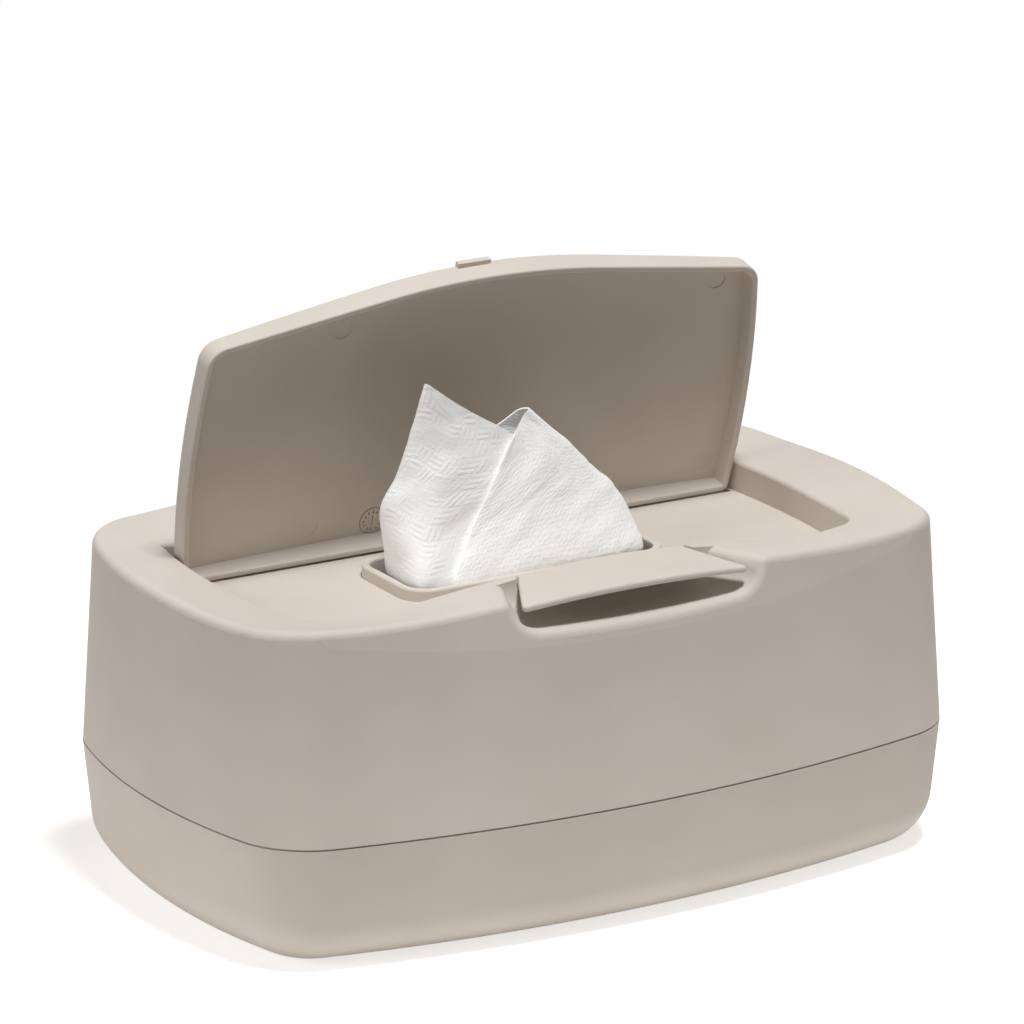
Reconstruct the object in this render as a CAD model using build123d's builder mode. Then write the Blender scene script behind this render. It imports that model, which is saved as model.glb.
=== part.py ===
from build123d import *
from math import asin, cos, exp, hypot, radians, sin, tan
import os

# Baby wipe box with a hinged lid, standing open on its base.
# Millimetres, +Z up, +X along the length, hinge at the rear (+Y).
# The origin is the middle of the base, on the surface that it stands on.

# Outer form at the parting line, where the housing sits on the tray
box_length = 250.0
box_depth = 159.7
side_bow_radius = 446.6
end_bow_radius = 201.8
corner_radius = 26.7
parting_height = 38.7

# Outer form at the top edge of the housing, drawn in from the parting line
top_height = 105.4
top_end_inset = 3.35
top_side_inset = 5.35
top_side_bow_radius = 461.0
top_end_bow_radius = 187.0
top_corner_radius = 24.2
top_edge_rounding = 2.4

# Mouldings
wall = 2.2
tray_draft = 5.6
tray_rounding = 17.6
groove_height = 0.6
groove_depth = 0.9
lip_height = 5.0
lip_thickness = 1.8
lip_root = 5.5
lip_clearance = 0.3

# Leaning band along the top of the front wall
band_inset = 1.1
band_bow_radius = 486.0
band_lean = 8.6

# Dished top face
top_end_drop = 3.4
dish_depth = 9.5
dish_falloff = 3.0
dish_roundness = 3.8
brow_share = 0.93
brow_half_width = 60.0
brow_start_y = -10.0
brow_blend_length = 8.0
brow_crest = 2.0
brow_crest_spread = 27.0
deck_margin = 6.0

# Top face left standing round the recess
front_shelf = 23.0
end_shelf = 23.45

# Lid, measured from its hinge pins
hinge_set_back = 39.1
hinge_drop = 10.84
lid_open_lean = 13.5
lid_closed_tilt = 3.4
lid_back_reach = 4.0
lid_rim_drop = 5.0
lid_side_bow_radius = 296.0
lid_side_bow_y = -32.5
lid_front_slope = 0.15
lid_front_bow_radius = 250.0
lid_front_corner = 7.0
lid_rear_corner = 2.5
lid_rise = 10.3
lid_arch_drop = 3.0
lid_edge_rounding = 2.2
lid_rim_rounding = 0.6
lid_wall = 2.0
catch_width = 11.0
catch_x = -3.0
catch_height = 2.0
catch_reach = 1.4
catch_below_top = 1.2
mark_radius = 3.2
mark_depth = 0.25
mark_places = [(-45.6, -70.6), (83.2, -68.4), (88.0, -4.2), (-49.4, -3.9)]
dial_place = (-26.9, -2.2)
dial_radius = 4.6
dial_line = 0.5
dial_tick_length = 1.1
dial_depth = 0.4
dial_tick_count = 12
dial_pointer_length = 3.2
pin_radius = 1.5
pin_reach = 5.0
pin_root = 3.0
pin_running_clearance = 0.05
pin_end_clearance = 0.5
socket_boss_radius = 3.4

# Recess that the lid closes into
lid_gap = 1.4
swing_clearance = 0.7
rim_clearance = 0.37
recess_edge_rounding = 1.2
trough_front_gap = 0.3
collar_length = 89.0
collar_depth = 38.0
collar_corner = 9.0
collar_height = 3.7
collar_wall = 2.6
collar_y = 0.5
collar_rounding = 0.7

# Press tab and the finger scoop under it
tab_rear_half_width = 28.0
tab_front_half_width = 38.6
tab_length = 19.6
tab_thickness = 2.0
tab_droop = 6.6
tab_rear_crown_radius = 180.0
tab_front_crown_radius = 480.0
tab_rear_gap = 0.3
tab_rear_bow = 1.5
tab_front_bow = 1.2
tab_corner = 1.5
tab_edge_rounding = 0.85
tab_seat_clearance = 0.6
tab_slot_rear = 7.0
tab_slot_front = 5.0
tab_side_gap = 0.5
scoop_depth = 11.0
scoop_floor_rise = 1.2
scoop_corner = 10.0
scoop_lip_rounding = 2.8

# Stack of folded wipes and the wipe that stands in the collar
stack_length = 186.0
stack_width = 98.0
stack_corner = 4.0
packet_height = 5.6
packet_count = 10
packet_gap = 0.3
soft_clearance = 0.3
wipe_thickness = 2.4
wipe_end_gap = 2.9
wipe_front_gap = 3.4
wipe_middle_rise = 18.1
wipe_shoulder_rise = 36.6
wipe_left_peak_rise = 56.1
wipe_right_peak_rise = 43.6

# The top face, the lid and the recess, worked out from the values above
top_length = box_length - 2 * top_end_inset
top_depth = box_depth - 2 * top_side_inset
band_depth = top_depth - 2 * band_inset
hinge_y = top_depth / 2 - hinge_set_back
hinge_z = top_height - hinge_drop
recess_front_y = front_shelf - top_depth / 2
lid_front_reach = hinge_y - recess_front_y - lid_gap
lid_half_width = top_length / 2 - end_shelf - lid_gap
scoop_floor_z = top_height - scoop_depth


def bowed_plan(height, length, depth, side_radius, end_radius, corner, inset=0.0):
    """A rounded rectangle whose four sides bow outwards, shrunk by inset all round."""
    side = side_radius - inset
    end = end_radius - inset
    with BuildSketch(Plane.XY.offset(height)) as plan:
        with Locations((0, depth / 2 - inset - side)):
            Circle(side)
        with Locations((0, side + inset - depth / 2)):
            Circle(side, mode=Mode.INTERSECT)
        with Locations((length / 2 - inset - end, 0)):
            Circle(end, mode=Mode.INTERSECT)
        with Locations((end + inset - length / 2, 0)):
            Circle(end, mode=Mode.INTERSECT)
        fillet(plan.vertices(), corner - inset)
    return plan.sketch


def parting_plan(height, inset=0.0):
    """The outline at the parting line, shrunk by inset."""
    return bowed_plan(
        height, box_length, box_depth, side_bow_radius, end_bow_radius, corner_radius, inset
    )


def housing_plan(height, inset=0.0):
    """The housing's outline at a height, between the parting line and the top edge and beyond."""
    share = (height - parting_height) / (top_height - parting_height)
    return bowed_plan(
        height,
        box_length + share * (top_length - box_length),
        box_depth + share * (top_depth - box_depth),
        side_bow_radius + share * (top_side_bow_radius - side_bow_radius),
        end_bow_radius + share * (top_end_bow_radius - end_bow_radius),
        corner_radius + share * (top_corner_radius - corner_radius),
        inset,
    )


def deck_height(x, y):
    """Height of the dished top face: low round the lid, raised in a brow at the front middle."""
    arch = top_height - top_end_drop * (2 * x / box_length) ** 2
    across = abs(2 * x / top_length) ** dish_roundness
    along = abs(2 * y / band_depth) ** dish_roundness
    reach = (across + along) ** (1 / dish_roundness)
    front = 1 / (1 + exp((y - brow_start_y) / brow_blend_length))
    brow = brow_share * front * exp(-((x / brow_half_width) ** 4))
    crest = brow_crest * front * exp(-((x / brow_crest_spread) ** 2))
    return arch + crest - dish_depth * (1 - reach**dish_falloff) * (1 - brow)


def deck_face(lower=0.0):
    """The dished top face as one smooth surface, moved down by lower."""
    columns = 41
    rows = 29
    half_x = box_length / 2 + deck_margin
    half_y = box_depth / 2 + deck_margin
    points = []
    for column in range(columns):
        x = half_x * (2 * column / (columns - 1) - 1)
        line = []
        for row in range(rows):
            y = half_y * (2 * row / (rows - 1) - 1)
            line.append((x, y, deck_height(x, y) - lower))
        points.append(line)
    return Face.make_surface_from_array_of_points(points, tol=0.005, max_deg=3)


# The lid's own plane: its origin is on the hinge pins, local -Y runs to the front edge
# and local +Z is the outer side. The lid is modelled open, as it stands.
lid_plane = Plane(
    origin=(0, hinge_y, hinge_z),
    x_dir=(1, 0, 0),
    z_dir=(0, cos(radians(lid_open_lean)), sin(radians(lid_open_lean))),
)


def lid_plan(plane, grow=0.0):
    """Outline of the lid: bowed ends, and a front edge of two slopes that meet in a bow."""
    half_apex_angle = asin(lid_front_slope / hypot(1, lid_front_slope))
    apex_y = -lid_front_reach - lid_front_bow_radius * (1 / cos(half_apex_angle) - 1)
    far_x = lid_half_width + lid_front_corner
    far_y = apex_y + far_x * lid_front_slope
    with BuildSketch(plane) as plan:
        with BuildLine():
            Polyline(
                (-far_x, lid_back_reach),
                (far_x, lid_back_reach),
                (far_x, far_y),
                (0, apex_y),
                (-far_x, far_y),
                close=True,
            )
        make_face()
        fillet(plan.vertices().sort_by(Axis.Y)[0], lid_front_bow_radius)
        with Locations((lid_half_width - lid_side_bow_radius, lid_side_bow_y)):
            Circle(lid_side_bow_radius, mode=Mode.INTERSECT)
        with Locations((lid_side_bow_radius - lid_half_width, lid_side_bow_y)):
            Circle(lid_side_bow_radius, mode=Mode.INTERSECT)
        fillet(plan.vertices().group_by(Axis.Y)[1], lid_front_corner)
        fillet(plan.vertices().group_by(Axis.Y)[-1], lid_rear_corner)
        if grow:
            offset(amount=grow)
    return plan.sketch


def lid_block(grow, rise):
    """The lid's outline grown by grow, from its rim up to an arched face at the given rise."""
    rim = lid_plane.offset(-lid_rim_drop)
    arch_plane = Plane(origin=rim.origin, x_dir=lid_plane.x_dir, z_dir=-lid_plane.y_dir)
    foot = rise - lid_arch_drop
    crest = rise + lid_arch_drop
    with BuildPart() as block:
        extrude(lid_plan(rim, grow), amount=crest)
        with BuildSketch(arch_plane):
            with BuildLine():
                left = -lid_half_width
                right = lid_half_width
                Polyline((left, foot), (left, 2 * crest), (right, 2 * crest), (right, foot))
                ThreePointArc((right, foot), (0, rise), (left, foot))
            make_face()
        extrude(amount=2 * lid_front_reach, both=True, mode=Mode.SUBTRACT)
    return block.part


def lid_inside(x):
    """Plane on the lid's arched inner face at x, square to the lid's own plane."""
    sag = lid_arch_drop * (x / lid_half_width) ** 2
    return lid_plane.offset(lid_rise - lid_wall - lid_rim_drop - sag)


lid_hollow = lid_block(-lid_wall, lid_rise - lid_wall)
catch_plane = lid_plane.offset(lid_rise - lid_rim_drop - catch_below_top - catch_height / 2)

with BuildPart() as lid:
    add(lid_block(0, lid_rise))
    outer_face = lid.faces().sort_by(Axis((0, 0, 0), lid_plane.z_dir))[-1]
    fillet(outer_face.edges(), lid_edge_rounding)
    add(lid_hollow, mode=Mode.SUBTRACT)
    rim_face = lid.faces().sort_by(Axis((0, 0, 0), lid_plane.z_dir))[0]
    fillet(rim_face.edges(), lid_rim_rounding)
    with BuildSketch(catch_plane):
        with Locations((catch_x, -lid_front_reach)):
            Rectangle(catch_width, 2 * catch_reach)
    extrude(amount=catch_height / 2, both=True)
    for side in (-1, 1):
        with BuildSketch(Plane.YZ.offset(side * (lid_half_width - pin_root))):
            with Locations((hinge_y, hinge_z)):
                Circle(pin_radius)
        extrude(amount=side * pin_reach)
    # Round ejector marks and a moulder's tick dial, sunk a little into the inner face
    for place in mark_places:
        with BuildSketch(lid_inside(place[0])):
            with Locations(place):
                Circle(mark_radius)
        extrude(amount=mark_depth, both=True, mode=Mode.SUBTRACT)
    with BuildSketch(lid_inside(dial_place[0])):
        with Locations(dial_place):
            Circle(dial_radius)
            Circle(dial_radius - dial_line, mode=Mode.SUBTRACT)
            Rectangle(dial_line, dial_pointer_length)
            with PolarLocations(dial_radius - dial_line - dial_tick_length, dial_tick_count):
                Rectangle(dial_tick_length, dial_line)
    extrude(amount=dial_depth, both=True, mode=Mode.SUBTRACT)
lid.part.label = "lid"


# Where the recess, trough, collar, scoop and tab lie, worked out from the lid and its hinge
swing_radius = hypot(lid_back_reach, lid_rim_drop) + swing_clearance
lid_rear_half_width = lid_half_width - lid_side_bow_radius * (
    1 - cos(asin((lid_back_reach - lid_side_bow_y) / lid_side_bow_radius))
)
recess_rear_y = hinge_y + swing_radius
recess_floor_z = hinge_z - lid_rim_drop * cos(radians(lid_closed_tilt)) - rim_clearance
seam_y = hinge_y + lid_back_reach * sin(radians(lid_open_lean)) - lid_rim_drop * cos(
    radians(lid_open_lean)
)
trough_front_y = seam_y - trough_front_gap
trough_floor_z = hinge_z - swing_radius
collar_top_z = recess_floor_z + collar_height
mouth_length = collar_length - 2 * collar_wall
mouth_depth = collar_depth - 2 * collar_wall
socket_end_x = lid_half_width - pin_root + pin_reach + pin_end_clearance
tab_rear_y = recess_front_y - tab_rear_gap
tab_top_z = deck_height(0, tab_rear_y)
tab_flare = (tab_front_half_width - tab_rear_half_width) / (tab_length + tab_rear_bow)
seat_reach = 2 * wall
seat_depth = 3 * wall
scoop_rear_y = recess_front_y - wall
clear_height = top_height + brow_crest + wall


def band_block(set_back=0.0):
    """Everything in front of the leaning band, with the band moved back by set_back."""
    sections = []
    for height in (parting_height, clear_height):
        lean = (top_height - height) * tan(radians(band_lean))
        band_y = set_back - band_depth / 2 - lean
        with BuildSketch(Plane.XY.offset(height)) as section:
            with Locations((0, band_y)):
                Rectangle(2 * box_length, box_depth)
            with Locations((0, band_y + band_bow_radius)):
                Circle(band_bow_radius, mode=Mode.SUBTRACT)
        sections.append(section.sketch)
    with BuildPart() as block:
        loft(sections, ruled=True)
    return block.part


def recess_plan(height, grow=0.0):
    """Outline of the recess: the lid's outline with its gap, and room behind for its swing."""
    with BuildSketch(Plane((0, hinge_y, height))) as plan:
        add(lid_plan(Plane.XY, lid_gap + grow))
        with Locations((0, (swing_radius + grow) / 2)):
            Rectangle(2 * (lid_rear_half_width + lid_gap + grow), swing_radius + grow)
    return plan.sketch


def recess_block(grow=0.0):
    """The recess and the hinge trough at its rear, grown by grow."""
    trough_depth = recess_rear_y - trough_front_y + 2 * grow
    with BuildPart() as block:
        extrude(recess_plan(recess_floor_z - grow, grow), amount=clear_height - recess_floor_z)
        with BuildSketch(Plane.XY.offset(trough_floor_z - grow)):
            with Locations((0, (trough_front_y + recess_rear_y) / 2)):
                Rectangle(2 * (lid_rear_half_width + lid_gap + grow), trough_depth)
        extrude(amount=clear_height - recess_floor_z)
    return block.part


def scoop_block(grow=0.0):
    """The finger scoop, open to the front and the top, with a bowed floor and round corners."""
    rear_half = tab_rear_half_width + tab_slot_rear
    flare = (tab_front_half_width + tab_slot_front - rear_half) / tab_length
    reach = scoop_rear_y + box_depth / 2 + wall
    with BuildPart() as block:
        with BuildSketch(Plane.XY.offset(scoop_floor_z - grow)):
            with BuildLine():
                Polyline(
                    (-rear_half, scoop_rear_y),
                    (rear_half, scoop_rear_y),
                    (rear_half + flare * reach, scoop_rear_y - reach),
                    (-rear_half - flare * reach, scoop_rear_y - reach),
                    close=True,
                )
            make_face()
            if grow:
                offset(amount=grow, kind=Kind.INTERSECTION)
        extrude(amount=clear_height - scoop_floor_z + grow)
        with BuildSketch(Plane.XZ):
            with BuildLine():
                low = scoop_floor_z - grow
                end = low + scoop_floor_rise * (box_length / 2 / tab_front_half_width) ** 2
                Polyline(
                    (-box_length / 2, end),
                    (-box_length / 2, low - box_depth),
                    (box_length / 2, low - box_depth),
                    (box_length / 2, end),
                )
                ThreePointArc((box_length / 2, end), (0, low), (-box_length / 2, end))
            make_face()
        extrude(amount=box_depth, both=True, mode=Mode.SUBTRACT)
        fillet(block.faces().sort_by(Axis.Z)[0].edges().sort_by(Axis.Y)[1:], scoop_corner + grow)
    return block.part


def tab_slab(underside, upper=0.0):
    """An arched slab along the tab, from underside below the tab's top face to upper above it."""
    sections = []
    for back, crown_radius in (
        (seat_reach, tab_rear_crown_radius),
        (-tab_length - seat_reach, tab_front_crown_radius),
    ):
        crest = tab_top_z + back * tan(radians(tab_droop))
        end = crest - tab_front_half_width**2 / (2 * crown_radius)
        half = tab_front_half_width
        with BuildSketch(Plane.XZ.offset(-tab_rear_y - back)) as section:
            with BuildLine():
                ThreePointArc((-half, end + upper), (0, crest + upper), (half, end + upper))
                Line((half, end + upper), (half, end - underside))
                ThreePointArc(
                    (half, end - underside), (0, crest - underside), (-half, end - underside)
                )
                Line((-half, end - underside), (-half, end + upper))
            make_face()
        sections.append(section.sketch)
    with BuildPart() as slab:
        loft(sections, ruled=True)
    return slab.part


with BuildPart() as tab_seat:
    with BuildSketch(Plane.XY.offset(tab_top_z - seat_depth)):
        with BuildLine():
            seat_corner = tab_rear_half_width + tab_side_gap
            seat_rear = seat_corner + tab_flare * (tab_rear_bow - seat_reach)
            seat_front = seat_corner + tab_flare * (tab_rear_bow + seat_reach)
            Polyline(
                (-seat_rear, tab_rear_y + seat_reach),
                (seat_rear, tab_rear_y + seat_reach),
                (seat_front, tab_rear_y - seat_reach),
                (-seat_front, tab_rear_y - seat_reach),
                close=True,
            )
        make_face()
    extrude(amount=2 * seat_depth)
    add(tab_slab(tab_thickness + tab_seat_clearance, seat_depth), mode=Mode.INTERSECT)

with BuildPart() as housing_cavity:
    loft([housing_plan(parting_height, wall), housing_plan(clear_height, wall)], ruled=True)
    add(band_block(wall), mode=Mode.SUBTRACT)
    extrude(deck_face(wall), amount=2 * clear_height, dir=(0, 0, 1), mode=Mode.SUBTRACT)
    add(recess_block(wall), mode=Mode.SUBTRACT)
    add(scoop_block(wall), mode=Mode.SUBTRACT)
    with BuildSketch(Plane.YZ):
        with Locations((hinge_y, hinge_z)):
            Circle(socket_boss_radius)
    extrude(amount=socket_end_x + wall, both=True, mode=Mode.SUBTRACT)

with BuildPart() as upper_housing:
    loft([housing_plan(parting_height), housing_plan(clear_height)], ruled=True)
    add(band_block(), mode=Mode.SUBTRACT)
    extrude(deck_face(), amount=2 * clear_height, dir=(0, 0, 1), mode=Mode.SUBTRACT)
    broad_faces = upper_housing.faces().sort_by(SortBy.AREA)[-2:]
    fillet(broad_faces.sort_by(Axis.Z)[-1].edges(), top_edge_rounding)
    add(housing_cavity.part, mode=Mode.SUBTRACT)
    add(recess_block(), mode=Mode.SUBTRACT)
    deck = upper_housing.faces().filter_by(lambda face: len(face.inner_wires()) == 1)
    recess_edge = deck.sort_by(Axis.Z)[-1].inner_wires()[0]
    fillet(recess_edge.edges(), recess_edge_rounding)
    with BuildSketch(Plane.XY.offset(recess_floor_z - wall)):
        with Locations((0, collar_y)):
            RectangleRounded(collar_length, collar_depth, collar_corner)
    extrude(amount=wall + collar_height)
    with BuildSketch(Plane.XY.offset(recess_floor_z - wall)):
        with Locations((0, collar_y)):
            RectangleRounded(mouth_length, mouth_depth, collar_corner - collar_wall)
    extrude(amount=wall + collar_height, mode=Mode.SUBTRACT)
    collar_top = upper_housing.faces().filter_by(Axis.Z).filter_by(
        lambda face: abs(face.center().Z - collar_top_z) < collar_rounding
    )
    fillet(collar_top.edges(), collar_rounding)
    add(scoop_block(), mode=Mode.SUBTRACT)
    scoop_edges = upper_housing.edges(Select.NEW).filter_by(
        lambda edge: edge.center().Y < tab_rear_y - wall
    )
    fillet(scoop_edges, scoop_lip_rounding)
    add(tab_seat.part, mode=Mode.SUBTRACT)
    with BuildSketch(Plane.YZ):
        with Locations((hinge_y, hinge_z)):
            Circle(pin_radius + pin_running_clearance)
    extrude(amount=socket_end_x, both=True, mode=Mode.SUBTRACT)
    with BuildSketch(Plane.XY.offset(parting_height)):
        add(parting_plan(0))
        add(parting_plan(0, groove_depth), mode=Mode.SUBTRACT)
    extrude(amount=groove_height, mode=Mode.SUBTRACT)
upper_housing.part.label = "upper_housing"

with BuildPart() as tray_hollow:
    draft_inset = parting_height * tan(radians(tray_draft))
    floor_inset = (parting_height - wall) * tan(radians(tray_draft))
    loft([parting_plan(wall, floor_inset + wall), parting_plan(parting_height, wall)], ruled=True)
    fillet(tray_hollow.edges().group_by(Axis.Z)[0], tray_rounding - wall)

with BuildPart() as lower_tray:
    loft([parting_plan(0, draft_inset), parting_plan(parting_height)], ruled=True)
    fillet(lower_tray.edges().group_by(Axis.Z)[0], tray_rounding)
    add(tray_hollow.part, mode=Mode.SUBTRACT)
    with BuildSketch(Plane.XY.offset(parting_height - lip_root)):
        add(parting_plan(0, wall / 2))
        add(parting_plan(0, wall + lip_clearance + lip_thickness), mode=Mode.SUBTRACT)
    extrude(amount=lip_root)
    lip_outer = wall + lip_clearance
    lip_inner = lip_outer + lip_thickness
    lip_top_z = parting_height + lip_height
    loft([housing_plan(parting_height, lip_outer), housing_plan(lip_top_z, lip_outer)], ruled=True)
    loft(
        [housing_plan(parting_height, lip_inner), housing_plan(lip_top_z, lip_inner)],
        ruled=True,
        mode=Mode.SUBTRACT,
    )
lower_tray.part.label = "lower_tray"

with BuildPart() as press_tab:
    with BuildSketch(Plane((0, tab_rear_y, tab_top_z - seat_depth))) as tab_plan:
        with BuildLine():
            rear = tab_rear_half_width
            front = tab_front_half_width
            Line((-front, -tab_length), (-rear, tab_rear_bow))
            ThreePointArc((-rear, tab_rear_bow), (0, 0), (rear, tab_rear_bow))
            Line((rear, tab_rear_bow), (front, -tab_length))
            ThreePointArc(
                (front, -tab_length), (0, -tab_length - tab_front_bow), (-front, -tab_length)
            )
        make_face()
        fillet(tab_plan.vertices(), tab_corner)
    extrude(amount=2 * seat_depth)
    add(tab_slab(tab_thickness), mode=Mode.INTERSECT)
    broad_faces = press_tab.faces().sort_by(SortBy.AREA)[-2:]
    free_edges = broad_faces.edges().sort_by(Axis.Y)[:-2]
    fillet(free_edges, tab_edge_rounding)
press_tab.part.label = "press_tab"

with BuildPart() as wipe_stack:
    for layer in range(packet_count):
        layer_z = wall + packet_gap + layer * (packet_height + packet_gap)
        with BuildSketch(Plane.XY.offset(layer_z)):
            RectangleRounded(stack_length, stack_width, stack_corner)
        extrude(amount=packet_height)
wipe_stack.part.label = "wipe_stack"
stack_top_z = wall + packet_count * (packet_height + packet_gap)


def fold_section(height, start, end, bulge):
    """A bowed strip of folded wipe at a height, from start to end and bulging forward."""
    run_x = end[0] - start[0]
    run_y = end[1] - start[1]
    run = hypot(run_x, run_y)
    back_x = -run_y / run
    back_y = run_x / run
    middle_x = (start[0] + end[0]) / 2 - bulge * back_x
    middle_y = (start[1] + end[1]) / 2 - bulge * back_y
    shift_x = wipe_thickness * back_x
    shift_y = wipe_thickness * back_y
    with BuildSketch(Plane((0, collar_y, height))) as section:
        with BuildLine():
            ThreePointArc(start, (middle_x, middle_y), end)
            Line(end, (end[0] + shift_x, end[1] + shift_y))
            ThreePointArc(
                (end[0] + shift_x, end[1] + shift_y),
                (middle_x + shift_x, middle_y + shift_y),
                (start[0] + shift_x, start[1] + shift_y),
            )
            Line((start[0] + shift_x, start[1] + shift_y), start)
        make_face()
    return section.sketch


# The wipe stands out of the collar in two folds that meet along a ridge at the front.
# Its points are seen from above, measured from the middle of the collar's mouth.
left_x = wipe_end_gap - mouth_length / 2
right_x = mouth_length / 2 - wipe_end_gap
front_y = wipe_front_gap - mouth_depth / 2
tail_z = stack_top_z + soft_clearance
throat_z = recess_floor_z - wall
middle_z = collar_top_z + wipe_middle_rise
shoulder_z = collar_top_z + wipe_shoulder_rise
ridge_tail = (left_x + 17.0, -8.5)
ridge_throat = (left_x + 12.0, front_y + 1.5)
ridge_foot = (left_x + 10.0, front_y)
ridge_middle = (left_x + 24.0, front_y + 4.5)
ridge_top = (left_x + 36.5, front_y + 10.5)

left_fold = [
    fold_section(tail_z, (left_x + 9.0, 3.5), ridge_tail, 1.0),
    fold_section(throat_z, (left_x + 1.5, 5.5), ridge_throat, 1.5),
    fold_section(collar_top_z, (left_x, 7.0), ridge_foot, 1.5),
    fold_section(middle_z, (left_x - 2.0, 6.5), ridge_middle, 2.0),
    fold_section(shoulder_z, (left_x + 6.5, 4.0), ridge_top, 2.0),
    fold_section(collar_top_z + wipe_left_peak_rise, (left_x + 11.0, 2.5), (left_x + 15.0, 1.5), 0.3),
]
right_fold = [
    fold_section(tail_z, ridge_tail, (right_x - 11.0, -4.5), 2.0),
    fold_section(throat_z, ridge_throat, (right_x - 2.0, -5.5), 2.0),
    fold_section(collar_top_z, ridge_foot, (right_x, -5.0), 4.0),
    fold_section(middle_z, ridge_middle, (right_x - 7.5, -2.0), 4.0),
    fold_section(shoulder_z, ridge_top, (right_x - 23.5, 0.5), 2.0),
    fold_section(collar_top_z + wipe_right_peak_rise, (right_x - 37.0, 1.0), (right_x - 32.0, 1.5), 0.3),
]

with BuildPart() as popup_wipe:
    loft(left_fold, ruled=True)
    loft(right_fold, ruled=True)
popup_wipe.part.label = "popup_wipe"

pieces = [lower_tray, upper_housing, lid, press_tab, wipe_stack, popup_wipe]
os.makedirs("parts", exist_ok=True)
for piece in pieces:
    export_step(piece.part, "parts/" + piece.part.label + ".step")
    print(piece.part.label, len(piece.solids()), round(piece.part.volume), piece.part.bounding_box())
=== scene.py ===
import math

import bpy
import numpy as np
from mathutils import Matrix, Vector, noise


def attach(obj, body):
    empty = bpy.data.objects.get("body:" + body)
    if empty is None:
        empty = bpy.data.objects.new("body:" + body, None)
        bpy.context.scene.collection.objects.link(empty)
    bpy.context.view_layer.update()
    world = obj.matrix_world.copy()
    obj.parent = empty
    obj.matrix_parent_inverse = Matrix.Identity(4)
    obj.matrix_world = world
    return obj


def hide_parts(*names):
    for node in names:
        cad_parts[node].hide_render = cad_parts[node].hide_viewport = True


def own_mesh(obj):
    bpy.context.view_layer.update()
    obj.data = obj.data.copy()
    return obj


# A baby wipe box of moulded plastic, standing open with a wipe pulled up through its collar.
# Metres, +Z up, +X along the length, the lid's hinge at the rear (+Y).
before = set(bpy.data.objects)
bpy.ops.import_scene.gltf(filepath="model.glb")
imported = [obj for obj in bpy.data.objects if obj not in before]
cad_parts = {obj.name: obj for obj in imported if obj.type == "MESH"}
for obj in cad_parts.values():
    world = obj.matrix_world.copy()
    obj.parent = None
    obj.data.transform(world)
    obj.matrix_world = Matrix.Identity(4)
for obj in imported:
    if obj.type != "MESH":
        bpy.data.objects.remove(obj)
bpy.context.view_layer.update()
MM = 0.001

# The photograph's camera: where it stands, how it is turned, and its lens
CAMERA_AZIMUTH = math.radians(30.2736)
CAMERA_ELEVATION = math.radians(17.4548)
CAMERA_DISTANCE = 2246.33 * MM
CAMERA_SIDE = -0.333 * MM
CAMERA_UP = 101.175 * MM
SENSOR_WIDTH = 36.0
IMAGE_SIDE = 1024
FOCAL_PIXELS = 7445.17

# The studio. The glow of the floor is for the light that it throws on the box, and that of the
# backdrop is for the camera. Each lamp has a name, a place, a size in metres and a power in watts.
SURROUND_LIGHT = 0.14
SURROUND_COLOUR = (1.0, 0.915, 0.83, 1.0)
FLOOR_RADIUS = 0.31
FLOOR_GLOW = 0.22
BACKDROP_GLOW = 0.6
LAMP_COLOUR = (0.975, 0.985, 1.0)
LAMPS = [("overhead", (0.05, -0.46, 1.9), 0.36, 29.0), ("left", (-2.0, 0.1, 0.9), 0.8, 11.0)]
LAMP_AIM = (0, 0, 0.08)
FLOOR_CORNERS = 96
WHITE = (1, 1, 1, 1)

# The plastic: its fine grain, and the broad clouds of its colour
GRAIN_SIZE = 0.45 * MM
CLOUD_SIZE = 38 * MM

# The wipe: its thickness, how finely it is divided, its crumples as size and depth, how far
# the left panel is tucked behind the right one at the ridge, and the angle from which its
# folds are shaded sharp
WIPE_THICKNESS = 0.55 * MM
WIPE_STEPS_LEFT = 84
WIPE_STEPS_RIGHT = 124
WIPE_STEPS_UP = 110
WIPE_CRUMPLES = [(26.0 * MM, 1.1 * MM), (9.0 * MM, 0.45 * MM), (3.5 * MM, 0.14 * MM)]
TUCK = (4.0, 2.2, 0.0)
CREASE_ANGLE = math.radians(60)

# The emboss of the wipe, in millimetres: a basket weave of short bars on one panel, worn away
# in patches, fine dimples on the other, and the fibre everywhere
WEAVE_CELL = 5.2
WEAVE_BARS = 3.0
WORN_PATCH = 9.0
DIMPLE_SIZE = 1.5
FIBRE_SIZE = 0.6

# The folded wipes in the box, packet on packet, each one strip folded to and fro, a little
# wavy and a little slipped on the one below
PACKETS = 10
PACKET_PITCH = 5.9 * MM
PACKET_LOW = 2.5 * MM
PACKET_HEIGHT = 5.6 * MM
PACKET_LENGTH = 186 * MM
PACKET_WIDTH = 98 * MM
PLIES_IN_PACKET = 12
PLY_STEPS = 14
PLY_COLUMNS = 14
FOLD_STEPS = 5
PLY_THICKNESS = 0.36 * MM
PLY_WAVE = 0.05 * MM
WAVE_SIZE = 40 * MM
WAVE_PER_PLY = 20
PACKET_SLIP = 0.5 * MM


def linear(hex_code):
    """An sRGB hex colour as the linear colour that a shader takes."""
    channels = [int(hex_code[i : i + 2], 16) / 255 for i in (0, 2, 4)]
    light = [c / 12.92 if c <= 0.04045 else ((c + 0.055) / 1.055) ** 2.4 for c in channels]
    return (*light, 1.0)


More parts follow.
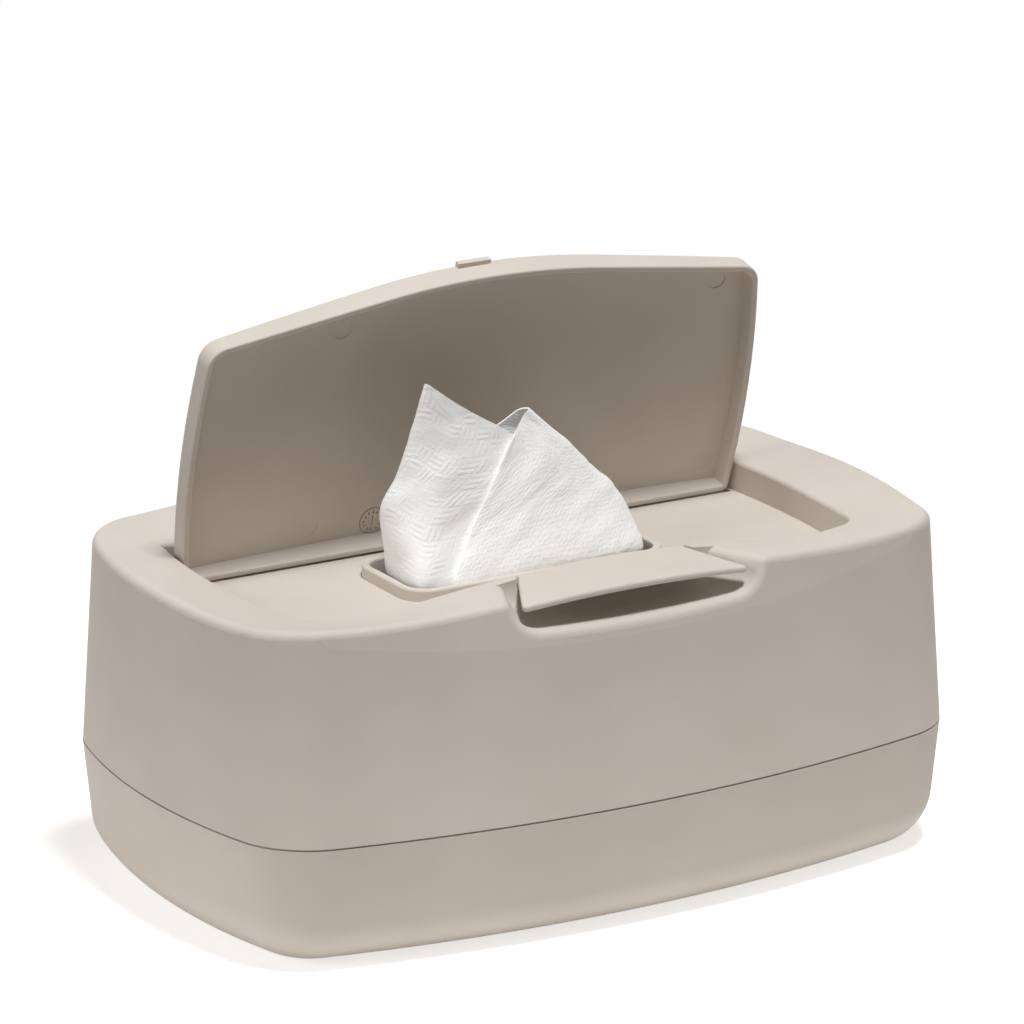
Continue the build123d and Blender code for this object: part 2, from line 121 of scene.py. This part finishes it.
def add(owner, kind, settings=None, inputs=None):
    """Adds a shader node, sets its properties, and sets or links its inputs by name or number."""
    made = owner.node_tree.nodes.new(kind)
    for name, value in (settings or {}).items():
        setattr(made, name, value)
    for name, value in (inputs or {}).items():
        if isinstance(value, bpy.types.NodeSocket):
            owner.node_tree.links.new(value, made.inputs[name])
        else:
            made.inputs[name].default_value = value
    return made


def math_node(owner, operation, first, second=None):
    """One arithmetic step between shader values."""
    inputs = {0: first} if second is None else {0: first, 1: second}
    return add(owner, "ShaderNodeMath", {"operation": operation}, inputs).outputs["Value"]


def new_material(name):
    """An empty material with its output node."""
    material = bpy.data.materials.new(name)
    material.use_nodes = True
    material.node_tree.nodes.clear()
    return material, material.node_tree.nodes.new("ShaderNodeOutputMaterial")


def photograph_camera():
    """The camera at the photograph's viewing angle."""
    right = Vector((math.cos(CAMERA_AZIMUTH), -math.sin(CAMERA_AZIMUTH), 0))
    level = Vector((math.sin(CAMERA_AZIMUTH), math.cos(CAMERA_AZIMUTH), 0))
    forward = level * math.cos(CAMERA_ELEVATION) - Vector((0, 0, math.sin(CAMERA_ELEVATION)))
    up = right.cross(forward)
    data = bpy.data.cameras.new("camera")
    data.sensor_width = SENSOR_WIDTH
    data.lens = FOCAL_PIXELS / IMAGE_SIDE * SENSOR_WIDTH
    data.clip_end = 20
    camera = bpy.data.objects.new("camera", data)
    turn = Matrix((right, up, -forward)).transposed().to_4x4()
    place = right * CAMERA_SIDE + up * CAMERA_UP - forward * CAMERA_DISTANCE
    camera.matrix_world = Matrix.Translation(place) @ turn
    bpy.context.scene.collection.objects.link(camera)
    bpy.context.scene.camera = camera


def moulded_polypropylene():
    """Matt polypropylene: a fine spark-eroded grain breaks up its soft waxy highlight."""
    material, output = new_material("moulded_polypropylene")
    place = add(material, "ShaderNodeTexCoord").outputs["Object"]
    grain = add(material, "ShaderNodeTexNoise", None, {
        "Vector": place, "Scale": 1 / GRAIN_SIZE, "Detail": 3.0, "Roughness": 0.6})
    cloud = add(material, "ShaderNodeTexNoise", None, {
        "Vector": place, "Scale": 1 / CLOUD_SIZE, "Detail": 2.0})
    colour = add(material, "ShaderNodeValToRGB", None, {"Fac": cloud.outputs["Fac"]})
    colour.color_ramp.elements[0].position = 0.3
    colour.color_ramp.elements[0].color = linear("d3cac0")
    colour.color_ramp.elements[1].position = 0.7
    colour.color_ramp.elements[1].color = linear("d8d0c6")
    rough = add(material, "ShaderNodeMapRange", None, {
        "Value": grain.outputs["Fac"], "To Min": 0.5, "To Max": 0.66})
    bump = add(material, "ShaderNodeBump", None, {
        "Height": grain.outputs["Fac"], "Strength": 0.22, "Distance": 0.06 * MM})
    surface = add(material, "ShaderNodeBsdfPrincipled", None, {
        "Base Color": colour.outputs["Color"], "Roughness": rough.outputs["Result"],
        "Normal": bump.outputs["Normal"], "Specular IOR Level": 0.22, "Subsurface Weight": 0.06,
        "Subsurface Radius": (0.9, 0.75, 0.6), "Subsurface Scale": 1.2 * MM})
    material.node_tree.links.new(surface.outputs["BSDF"], output.inputs["Surface"])
    return material


def basket_weave(material, cloth):
    """Height of an emboss of short bars, in square cells whose bars lie one way, then the other."""
    cells = add(material, "ShaderNodeVectorMath", {"operation": "SCALE"}, {
        "Vector": cloth, "Scale": 1 / WEAVE_CELL}).outputs[0]
    number = add(material, "ShaderNodeVectorMath", {"operation": "FLOOR"}, {0: cells}).outputs[0]
    number = add(material, "ShaderNodeSeparateXYZ", None, {0: number}).outputs
    place = add(material, "ShaderNodeVectorMath", {"operation": "FRACTION"}, {0: cells}).outputs[0]
    place = add(material, "ShaderNodeSeparateXYZ", None, {0: place}).outputs
    cell = math_node(material, "ADD", number["X"], number["Y"])
    turned = math_node(material, "FLOORED_MODULO", cell, 2.0)
    across = add(material, "ShaderNodeMix", None, {0: turned, 2: place["X"], 3: place["Y"]})
    along = add(material, "ShaderNodeMix", None, {0: turned, 2: place["Y"], 3: place["X"]})
    bars = math_node(material, "MULTIPLY", across.outputs[0], WEAVE_BARS)
    bar = math_node(material, "PINGPONG", bars, 0.5)
    bar = add(material, "ShaderNodeMapRange", {"interpolation_type": "SMOOTHSTEP"}, {
        "Value": bar, "From Min": 0.16, "From Max": 0.34})
    end = math_node(material, "PINGPONG", along.outputs[0], 0.5)
    end = add(material, "ShaderNodeMapRange", {"interpolation_type": "SMOOTHSTEP"}, {
        "Value": end, "From Min": 0.04, "From Max": 0.16})
    return math_node(material, "MULTIPLY", bar.outputs["Result"], end.outputs["Result"])


def embossed_nonwoven():
    """Wet spunlace nonwoven: soft white fibre, dimpled, with a basket-weave emboss on one panel.

    A trace of glow stands for the light that comes through the wet sheet.
    """
    material, output = new_material("embossed_nonwoven")
    cloth = add(material, "ShaderNodeUVMap", {"uv_map": "cloth"}).outputs["UV"]
    panel = add(material, "ShaderNodeAttribute", {"attribute_name": "weave"}).outputs["Fac"]
    fibre = add(material, "ShaderNodeTexNoise", None, {
        "Vector": cloth, "Scale": 1.0 / FIBRE_SIZE, "Detail": 4.0, "Roughness": 0.65})
    dimple = add(material, "ShaderNodeTexVoronoi", {"feature": "SMOOTH_F1"}, {
        "Vector": cloth, "Scale": 1.0 / DIMPLE_SIZE, "Randomness": 0.45, "Smoothness": 0.3})
    fine = add(material, "ShaderNodeMapRange", None, {
        "Value": dimple.outputs["Distance"], "From Max": 0.7, "To Max": 0.7})
    worn = add(material, "ShaderNodeTexNoise", None, {
        "Vector": cloth, "Scale": 1.0 / WORN_PATCH, "Detail": 1.0})
    worn = add(material, "ShaderNodeMapRange", None, {
        "Value": worn.outputs["Fac"],
        "From Min": 0.4, "From Max": 0.62, "To Min": 0.04, "To Max": 0.5})
    weave = math_node(material, "MULTIPLY", basket_weave(material, cloth), worn.outputs["Result"])
    faint = math_node(material, "MULTIPLY", fine.outputs["Result"], 0.4)
    weave = math_node(material, "ADD", weave, faint)
    emboss = add(material, "ShaderNodeMix", None, {0: panel, 2: fine.outputs["Result"], 3: weave})
    fibres = math_node(material, "MULTIPLY", fibre.outputs["Fac"], 0.8)
    height = math_node(material, "ADD", emboss.outputs[0], fibres)
    bump = add(material, "ShaderNodeBump", None, {
        "Height": height, "Strength": 0.6, "Distance": 0.3 * MM})
    surface = add(material, "ShaderNodeBsdfPrincipled", None, {
        "Base Color": linear("fefefd"), "Roughness": 0.75, "Normal": bump.outputs["Normal"],
        "Subsurface Weight": 0.08, "Subsurface Radius": (1.0, 1.0, 1.0),
        "Subsurface Scale": 0.3 * MM, "Sheen Weight": 0.15, "Sheen Roughness": 0.5,
        "Emission Color": WHITE, "Emission Strength": 0.03})
    material.node_tree.links.new(surface.outputs["BSDF"], output.inputs["Surface"])
    return material


# The pulled-up wipe, as the lines that it follows upwards, in order round it from the
# overlap at the rear. Millimetres in the row frame: the part below 90 is down in the box.
REAR_OUTER = [
    (-8, 11, 62.5), (-9, 13, 76), (-10, 13.5, 88), (-11, 12, 96),
    (-12, 10.5, 108), (-12, 9, 120), (-12, 7.5, 135)]
REAR_LEFT = [
    (-22, 10, 62.5), (-27, 12.5, 76), (-30, 13, 88), (-30, 12.5, 96),
    (-30, 11, 110), (-26, 8.5, 124), (-21, 6, 142)]
LEFT_FOLD = [
    (-32, 3, 62.5), (-36, 5, 76), (-38.3, 6.5, 88), (-39.6, 7.3, 95),
    (-41, 7, 111), (-35, 5, 124), (-27.5, 3.2, 149)]
LEFT_PANEL = [
    (-30, -3, 62.5), (-33, -4, 76), (-37.6, -10.4, 88), (-38.6, -11.4, 95),
    (-32, -4.5, 111), (-25.5, -2.2, 124), (-18.5, 1.4, 142.2)]
RIDGE = [
    (-24, -7, 62.5), (-26, -9.5, 76), (-27.5, -14.4, 88), (-28.3, -15, 93),
    (-20, -10, 105), (-10.5, -5.8, 117), (-2, -2, 129)]
RIGHT_PANEL = [
    (4, -8, 62.5), (4, -10.5, 76), (3, -14.6, 88), (4, -15, 96),
    (6, -10, 108), (6, -5.5, 119), (2.2, 0.2, 133)]
RIGHT_BULGE = [
    (24, -5, 62.5), (26, -8, 76), (28.4, -12.8, 88), (29.4, -13.4, 95),
    (26, -7.5, 106), (17, -3.5, 119), (4.6, 1.2, 135.4)]
RIGHT_FOLD = [
    (33, -1, 62.5), (36, -3, 76), (39.4, -6.4, 88), (40.5, -6.6, 93),
    (37.4, -2.8, 104), (25, -0.4, 118.5), (6.4, 2.1, 136.6)]
REAR_RIGHT = [
    (26, 7, 62.5), (29, 9, 76), (31, 10, 88), (32, 9.5, 95),
    (28, 7.5, 106), (18, 6, 119), (4.4, 5.4, 135.4)]
REAR_MIDDLE = [
    (2, 9, 62.5), (2, 11.2, 76), (2, 11.8, 88), (2, 11, 96),
    (0, 9.5, 108), (-1.5, 8, 119), (-3.5, 6, 131.3)]
REAR_INNER = [
    (-14, 9, 62.5), (-16, 11, 76), (-17, 11.6, 88), (-17, 11, 96),
    (-16, 9, 108), (-15, 7.5, 120), (-14, 6, 134)]
LEFT_LINES = [REAR_OUTER, REAR_LEFT, LEFT_FOLD, LEFT_PANEL]
RIGHT_LINES = [RIGHT_PANEL, RIGHT_BULGE, RIGHT_FOLD, REAR_RIGHT, REAR_MIDDLE, REAR_INNER]


def smooth_line(points, count):
    """count points along a curve through the given ones, spaced as they are."""
    points = np.asarray(points, float)
    last = len(points) - 1
    padded = np.concatenate([2 * points[:1] - points[1:2], points, 2 * points[-1:] - points[-2:-1]])
    at = np.linspace(0, last, count)
    part = np.minimum(at.astype(int), last - 1)
    t = (at - part).reshape((-1,) + (1,) * (points.ndim - 1))
    a, b, c, d = (padded[part + i] for i in range(4))
    square = (2 * a - 5 * b + 4 * c - d) * t**2
    cube = (3 * b - a - 3 * c + d) * t**3
    return 0.5 * (2 * b + (c - a) * t + square + cube)


def grid_faces(rows, columns):
    """The quads of a grid of points that are numbered row by row."""
    return [
        (i * columns + j, (i + 1) * columns + j, (i + 1) * columns + j + 1, i * columns + j + 1)
        for i in range(rows - 1)
        for j in range(columns - 1)
    ]


def sheet_object(name, vertices, faces, across, along, weave, thickness, body, material):
    """A thickened sheet of nonwoven with its flat coordinates in millimetres, riding on a body."""
    mesh = bpy.data.meshes.new(name)
    mesh.from_pydata([tuple(v) for v in vertices], [], faces)
    mesh.materials.append(material)
    mesh.shade_smooth()
    layer = mesh.uv_layers.new(name="cloth")
    flat = np.stack([across.ravel(), along.ravel()], axis=1) / MM
    corner = np.zeros(len(mesh.loops), int)
    mesh.loops.foreach_get("vertex_index", corner)
    layer.data.foreach_set("uv", flat[corner].astype(np.float32).ravel())
    share = mesh.attributes.new("weave", "FLOAT", "POINT")
    share.data.foreach_set("value", weave.ravel().astype(np.float32))
    thin = bpy.data.objects.new(name + "_thin", mesh)
    bpy.context.scene.collection.objects.link(thin)
    solid = thin.modifiers.new("thickness", "SOLIDIFY")
    solid.thickness = thickness
    solid.offset = 0
    bpy.context.view_layer.update()
    thick = thin.evaluated_get(bpy.context.evaluated_depsgraph_get())
    made = bpy.data.objects.new(name, bpy.data.meshes.new_from_object(thick))
    bpy.data.objects.remove(thin)
    bpy.context.scene.collection.objects.link(made)
    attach(made, body)
    return made


def crumpled(panel, across, along):
    """A panel of the wipe, a grid of points, pushed in and out along its normals by crumples."""
    normal = np.cross(np.gradient(panel, axis=0), np.gradient(panel, axis=1))
    normal /= np.maximum(np.linalg.norm(normal, axis=2, keepdims=True), 1e-9)
    pushed = panel.copy()
    for size, depth in WIPE_CRUMPLES:
        for i, j in np.ndindex(across.shape):
            place = Vector((across[i, j], along[i, j], depth)) / size
            pushed[i, j] += normal[i, j] * depth * noise.noise(place)
    return pushed


def pulled_up_wipe(material):
    """The wipe that stands in the collar: one sheet, folded round, with a pleat at its ridge."""
    tucked = [tuple(np.add(point, TUCK)) for point in RIDGE]
    panels = []
    sides = [([*LEFT_LINES, tucked], WIPE_STEPS_LEFT), ([RIDGE, *RIGHT_LINES], WIPE_STEPS_RIGHT)]
    for lines, steps in sides:
        upward = np.stack([smooth_line(line, WIPE_STEPS_UP) for line in lines])
        panels.append(smooth_line(upward, steps) * MM)
    grid = np.concatenate(panels)
    rounds, ups = grid.shape[:2]
    step_round = np.linalg.norm(np.diff(grid, axis=0), axis=2)
    step_up = np.linalg.norm(np.diff(grid, axis=1), axis=2)
    across = np.concatenate([np.zeros((1, ups)), np.cumsum(step_round, axis=0)])
    along = np.concatenate([np.zeros((rounds, 1)), np.cumsum(step_up, axis=1)], axis=1)
    cut = WIPE_STEPS_LEFT
    left = crumpled(panels[0], across[:cut], along[:cut])
    right = crumpled(panels[1], across[cut:], along[cut:])
    grid = np.concatenate([left, right])
    weave = np.zeros((rounds, ups))
    weave[:cut] = 1
    wipe = sheet_object("popup_wipe_sheet", grid.reshape(-1, 3), grid_faces(rounds, ups),
                        across, along, weave, WIPE_THICKNESS, "housing", material)
    wipe.data.set_sharp_from_angle(angle=CREASE_ANGLE)
    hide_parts("popup_wipe")
    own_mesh(wipe)


def folded_path(low):
    """The section of a packet above a height: plies to and fro, joined by round folds."""
    pitch = PACKET_HEIGHT / PLIES_IN_PACKET
    reach = PACKET_WIDTH / 2 - pitch / 2
    path = []
    for ply in range(PLIES_IN_PACKET):
        height = low + (ply + 0.5) * pitch
        heading = 1 if ply % 2 == 0 else -1
        path += [(heading * y, height) for y in np.linspace(-reach, reach, PLY_STEPS)]
        if ply < PLIES_IN_PACKET - 1:
            for turn in np.linspace(0, math.pi, FOLD_STEPS + 2)[1:-1]:
                path.append((heading * (reach + math.sin(turn) * pitch / 2),
                             height + (1 - math.cos(turn)) * pitch / 2))
    return path


def folded_packet(number, material):
    """One packet of the stack: a strip folded to and fro, seen when the housing is lifted off."""
    path = folded_path(PACKET_LOW + number * PACKET_PITCH)
    seed = number * 3.1
    slip_x = noise.noise(Vector((seed, 0.5, 0)))
    slip_y = noise.noise(Vector((0.5, seed, 0)))
    slip = Vector((slip_x, slip_y, 0)) * PACKET_SLIP
    vertices = []
    for x in np.linspace(-PACKET_LENGTH / 2, PACKET_LENGTH / 2, PLY_COLUMNS):
        for y, z in path:
            wave = noise.noise(Vector((x, y, z * WAVE_PER_PLY)) / WAVE_SIZE) * PLY_WAVE
            vertices.append(Vector((x, y, z + wave)) + slip)
    rows = len(path)
    steps = np.linalg.norm(np.diff(np.array(path), axis=0), axis=1)
    along = np.tile(np.concatenate([[0], np.cumsum(steps)]), (PLY_COLUMNS, 1))
    across = np.repeat(np.linspace(0, PACKET_LENGTH, PLY_COLUMNS)[:, None], rows, axis=1)
    packet = sheet_object("wipe_packet_%d" % (number + 1), vertices, grid_faces(PLY_COLUMNS, rows),
                          across, along, np.zeros_like(along), PLY_THICKNESS, "tray", material)
    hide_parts("wipe_stack")


def studio():
    """A pale floor, a white surround, and soft light mostly from above."""
    world = bpy.data.worlds.new("surround")
    bpy.context.scene.world = world
    world.use_nodes = True
    world.node_tree.nodes.clear()
    output = add(world, "ShaderNodeOutputWorld")
    rays = add(world, "ShaderNodeLightPath").outputs
    mirrored = math_node(world, "MAXIMUM", rays["Is Glossy Ray"], rays["Is Transmission Ray"])
    seen = math_node(world, "MAXIMUM", rays["Is Camera Ray"], mirrored)
    dim = add(world, "ShaderNodeBackground", None, {
        "Color": SURROUND_COLOUR, "Strength": SURROUND_LIGHT})
    white = add(world, "ShaderNodeBackground", None, {"Color": WHITE, "Strength": 1.0})
    mix = add(world, "ShaderNodeMixShader", None, {0: seen, 1: dim.outputs[0], 2: white.outputs[0]})
    world.node_tree.links.new(mix.outputs[0], output.inputs["Surface"])

    material, output = new_material("pale_floor")
    pale = add(material, "ShaderNodeBsdfDiffuse", None, {"Color": linear("e8e5e2")})
    rays = add(material, "ShaderNodeLightPath").outputs
    strength = add(material, "ShaderNodeMapRange", None, {
        "Value": rays["Is Camera Ray"], "To Min": FLOOR_GLOW, "To Max": BACKDROP_GLOW})
    glow = add(material, "ShaderNodeEmission", None, {
        "Color": WHITE, "Strength": strength.outputs["Result"]})
    both = add(material, "ShaderNodeAddShader", None, {0: pale.outputs[0], 1: glow.outputs[0]})
    material.node_tree.links.new(both.outputs[0], output.inputs["Surface"])
    turns = np.linspace(0, 2 * math.pi, FLOOR_CORNERS, endpoint=False)
    rim = [(FLOOR_RADIUS * math.cos(turn), FLOOR_RADIUS * math.sin(turn), 0) for turn in turns]
    mesh = bpy.data.meshes.new("floor")
    mesh.from_pydata(rim, [], [list(range(len(rim)))])
    mesh.materials.append(material)
    floor = bpy.data.objects.new("floor", mesh)
    bpy.context.scene.collection.objects.link(floor)

    for name, place, size, power in LAMPS:
        data = bpy.data.lights.new(name, "AREA")
        data.shape = "SQUARE"
        data.size = size
        data.energy = power
        data.color = LAMP_COLOUR
        lamp = bpy.data.objects.new(name, data)
        lamp.location = place
        aim = Vector(LAMP_AIM) - Vector(place)
        lamp.rotation_mode = "QUATERNION"
        lamp.rotation_quaternion = aim.to_track_quat("-Z", "Y")
        bpy.context.scene.collection.objects.link(lamp)


photograph_camera()
studio()
bpy.context.scene.view_settings.view_transform = "Standard"
plastic = moulded_polypropylene()
cloth = embossed_nonwoven()
for name in ("lower_tray", "upper_housing", "lid", "press_tab"):
    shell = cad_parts[name]
    shell.data.materials.clear()
    shell.data.materials.append(plastic)
pulled_up_wipe(cloth)
for number in range(PACKETS):
    folded_packet(number, cloth)
